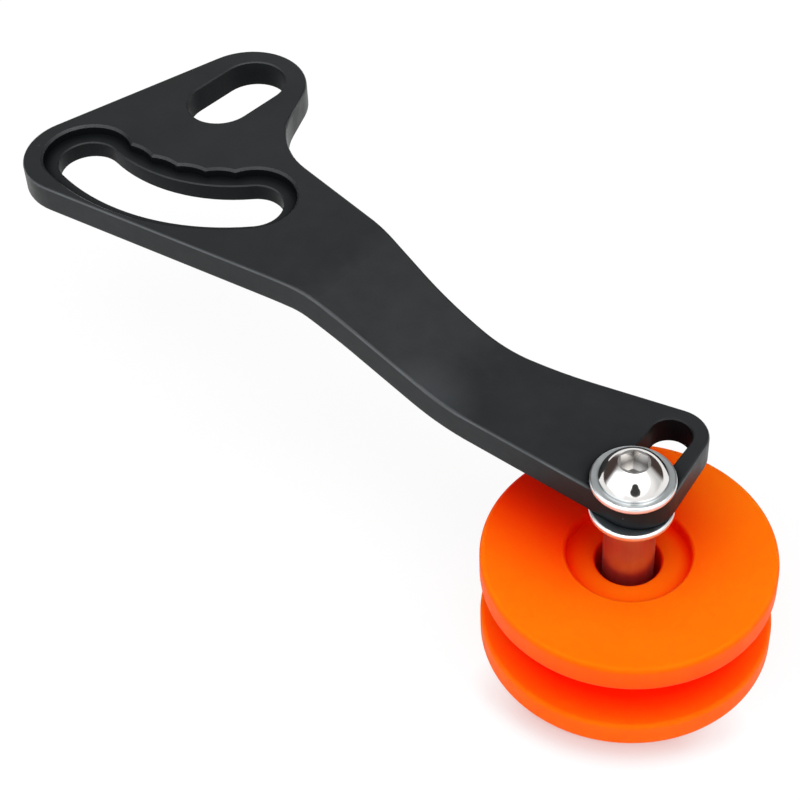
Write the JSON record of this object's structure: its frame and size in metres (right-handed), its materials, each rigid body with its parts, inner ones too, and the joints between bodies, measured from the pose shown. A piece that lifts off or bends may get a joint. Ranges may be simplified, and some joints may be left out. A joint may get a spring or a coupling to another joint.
{
  "type": "bicycle chain tensioner",
  "caption": "Cranked black plate arm with a hanger slot and a notched arc slot, and a grooved orange roller that turns on a clamped bolt and keeps a bicycle chain tight.",
  "frame": {"origin": "middle of the hanger slot, on the back face of the arm's head that lies against the frame", "axes": "+Z outboard, along the hanger bolt and the roller bolt; +X along the arm towards the roller; +Y across the arm, along the cross slot"},
  "size_m": [0.1462, 0.0717, 0.0434],
  "materials": {
    "arm_coat": "satin black coat",
    "roller_plastic": "satin orange plastic",
    "polished_steel": "polished plating",
    "zinc_steel": "bright zinc plating",
    "turned_steel": "fine turned steel",
    "nylon": "plain nylon"
  },
  "bodies": {
    "arm": {"arm": "arm_coat"},
    "axle": {"roller_bolt": "polished_steel", "top_washer": "zinc_steel", "arm_washer": "zinc_steel", "sleeve": "turned_steel", "end_washer": "zinc_steel", "lock_nut": "zinc_steel", "nut_insert": "nylon"},
    "roller": {"roller": "roller_plastic"}
  },
  "joints": [
    {"name": "axle_slide", "type": "slide", "parent": "arm", "child": "axle", "axis": [0, 1, 0], "range_m": [0, 0.0115]},
    {"name": "roller_spin", "type": "hinge", "parent": "axle", "child": "roller", "pos_m": [0.101, -0.03585, -0.02905], "axis": [0, 0, 1], "continuous": true}
  ]
}
